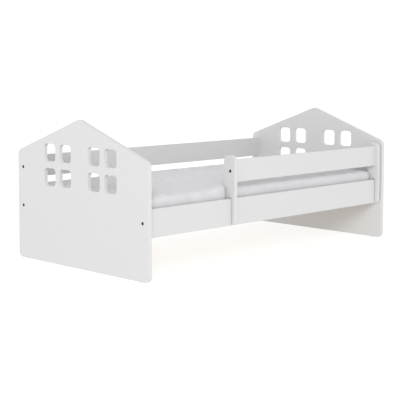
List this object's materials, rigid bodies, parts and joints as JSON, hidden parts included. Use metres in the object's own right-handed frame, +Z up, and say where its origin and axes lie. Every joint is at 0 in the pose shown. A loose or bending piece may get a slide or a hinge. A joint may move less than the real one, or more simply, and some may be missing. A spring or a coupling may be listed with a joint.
{
  "type": "toddler bed",
  "caption": "Low toddler bed with house-shaped end panels cut with window panes, slatted base, mattress and a lift-off front guard.",
  "frame": {"origin": "on the floor under the middle of the bed", "axes": "+X along the bed from the foot panel to the head panel, -Y out through the front with the lift-off guard, +Z up"},
  "size_m": [1.64, 0.892, 0.6576],
  "materials": {
    "white_laminate": "satin",
    "pine": "matte",
    "beech": "matte",
    "zinc_steel": "satin",
    "dark_steel": "satin",
    "webbing": "matte",
    "glide_plastic": "matte",
    "mattress_fabric": "matte",
    "foam": "matte"
  },
  "bodies": {
    "frame": {"foot_panel": "white_laminate", "head_panel": "white_laminate", "front_rail": "white_laminate", "rear_rail": "white_laminate", "rear_guard": "white_laminate", "front_batten": "pine", "rear_batten": "pine", "batten_screws": "zinc_steel", "slat_screws": "zinc_steel", "strap_front": "webbing", "strap_rear": "webbing", "strap_staples": "zinc_steel", "frame_bolts": "dark_steel", "frame_barrel_nuts": "zinc_steel", "frame_dowels": "beech", "glides": "glide_plastic", "slat_01": "pine", "slat_02": "pine", "slat_03": "pine", "slat_04": "pine", "slat_05": "pine", "slat_06": "pine", "slat_07": "pine", "slat_08": "pine", "slat_09": "pine", "slat_10": "pine", "slat_11": "pine", "slat_12": "pine", "slat_13": "pine"},
    "guard": {"guard_board": "white_laminate", "guard_upright_left": "white_laminate", "guard_upright_right": "white_laminate", "guard_bolts": "dark_steel", "guard_barrel_nuts": "zinc_steel", "guard_dowels": "beech"},
    "mattress": {"mattress_cover": "mattress_fabric", "mattress_core": "foam"}
  },
  "joints": [
    {"name": "guard_lift", "type": "slide", "parent": "frame", "child": "guard", "axis": [0, 0, 1], "range_m": [0, 0.14]},
    {"name": "mattress_lift", "type": "slide", "parent": "frame", "child": "mattress", "axis": [0, 0, 1], "range_m": [0, 0.42]}
  ]
}
